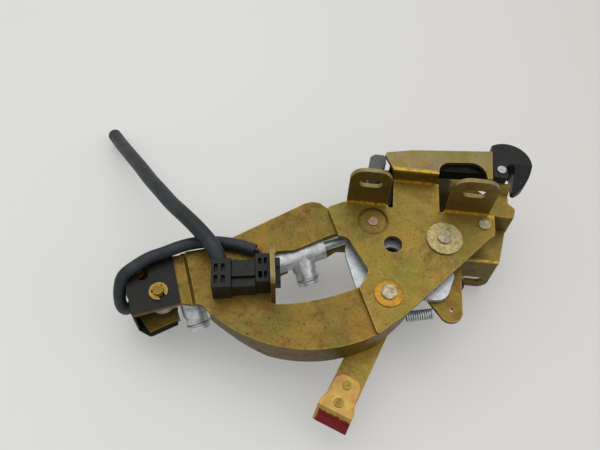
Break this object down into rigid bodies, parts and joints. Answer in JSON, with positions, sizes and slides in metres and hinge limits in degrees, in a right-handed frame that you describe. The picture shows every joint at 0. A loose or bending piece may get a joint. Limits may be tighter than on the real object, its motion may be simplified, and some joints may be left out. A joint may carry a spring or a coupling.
{
  "type": "hydraulic roof latch",
  "caption": "Hydraulic latch: riveted sheet-steel frame, swinging hook on a lever driven by a double-acting cylinder, with a hand release lever, sprung pawl and position switch lead.",
  "frame": {"origin": "centre of the locating hole in the front face of the main plate", "axes": "+X along the folds of the mounting tabs, towards the hook; +Y away from the hand lever; +Z out of the main plate's front face"},
  "size_m": [0.2809, 0.1985, 0.082],
  "materials": {
    "yellow_zinc_plate": "olive-gold yellow chromate on zinc plate",
    "grey_zinc": "bright zinc plate",
    "brass_washer": "pale yellow zinc plate",
    "black_cover": "matt black",
    "cast_alloy": "satin alloy",
    "dark_casting": "dark as-cast",
    "oiled_steel": "dark oiled forged steel",
    "bronze_bush": "sintered bronze",
    "hook_plastic": "moulded charcoal plastic",
    "black_rubber": "black rubber",
    "connector_plastic": "moulded black plastic",
    "red_coat": "dark red paint over yellow zinc",
    "red_plastic": "red plastic button",
    "lead_sleeve": "charcoal sleeve",
    "wire_insulation": "violet wire"
  },
  "bodies": {
    "frame": {"main_plate": "yellow_zinc_plate", "carrier_plate": "yellow_zinc_plate", "rear_plate": "yellow_zinc_plate", "rivet_a": "grey_zinc", "pivot_stud_b": "grey_zinc", "pivot_stud_c": "grey_zinc", "rivet_d": "grey_zinc", "cup_washer_b": "yellow_zinc_plate", "washer_c": "brass_washer", "tail_pin": "yellow_zinc_plate", "tail_pin_clip": "yellow_zinc_plate", "end_cover": "black_cover", "hook_stud": "grey_zinc", "hook_stud_clip": "grey_zinc", "stop_block": "dark_casting", "stud_b_clip": "grey_zinc", "release_spring": "grey_zinc", "pawl_spring": "grey_zinc", "socket_housing": "connector_plastic", "plug_housing": "connector_plastic", "plug_lock": "connector_plastic", "switch_body": "connector_plastic", "switch_screws": "grey_zinc", "switch_lead": "lead_sleeve", "supply_lead": "lead_sleeve", "lead_wires": "wire_insulation"},
    "cylinder": {"cylinder_barrel": "cast_alloy", "cylinder_gland": "bronze_bush", "rod_seal": "black_rubber", "port_seals": "black_rubber", "port_clips": "grey_zinc"},
    "rod": {"piston": "grey_zinc", "piston_seal": "black_rubber", "piston_rod": "grey_zinc", "rod_eye": "grey_zinc"},
    "drive": {"drive_lever": "grey_zinc", "drive_bush": "bronze_bush", "rod_pin": "grey_zinc", "hook_pin": "grey_zinc"},
    "hook": {"hook_arm": "oiled_steel", "hook_bush": "bronze_bush", "hook_cover": "hook_plastic", "hook_rivet": "grey_zinc"},
    "release": {"release_lever": "yellow_zinc_plate", "release_tip": "red_coat", "release_rivets": "yellow_zinc_plate"},
    "pawl": {"pawl_lever": "yellow_zinc_plate", "pawl_bush": "bronze_bush", "pawl_buffer": "black_rubber"},
    "switch_button": {"switch_plunger": "red_plastic"}
  },
  "joints": [
    {"name": "drive_pivot", "type": "hinge", "parent": "frame", "child": "drive", "pos_m": [-0.0014, -0.0315, 0], "axis": [0, 0, 1], "range_deg": [-20, 0]},
    {"name": "hook_pivot", "type": "hinge", "parent": "frame", "child": "hook", "pos_m": [0.00385, 0.0555, 0], "axis": [0, 0, 1], "range_deg": [0, 43.7]},
    {"name": "cylinder_swing", "type": "hinge", "parent": "frame", "child": "cylinder", "pos_m": [-0.127, -0.043, -0.014], "axis": [0, 0, 1], "range_deg": [-2.6, 0]},
    {"name": "rod_slide", "type": "slide", "parent": "cylinder", "child": "rod", "axis": [0.8906, 0.4548, 0], "range_m": [0, 0.016]},
    {"name": "release_pivot", "type": "hinge", "parent": "frame", "child": "release", "pos_m": [-0.0014, -0.0315, 0], "axis": [0, 0, 1], "range_deg": [0, 25], "stiffness_Nm_per_rad": 0.05, "springref_deg": -8.59},
    {"name": "pawl_pivot", "type": "hinge", "parent": "frame", "child": "pawl", "pos_m": [0.0294, 0.0068, 0], "axis": [0, 0, 1], "range_deg": [0, 12], "stiffness_Nm_per_rad": 0.03, "springref_deg": -8.59},
    {"name": "switch_press", "type": "slide", "parent": "frame", "child": "switch_button", "axis": [1, 0, 0], "range_m": [-0.0015, 0], "stiffness_N_per_m": 300, "springref_m": 0.001}
  ],
  "couplings": [
    {"joint": "hook_pivot", "follows": "drive_pivot", "ratio": -2.185},
    {"joint": "cylinder_swing", "follows": "drive_pivot", "ratio": 0.1245},
    {"joint": "rod_slide", "follows": "drive_pivot", "m_per_rad": -0.0446}
  ]
}
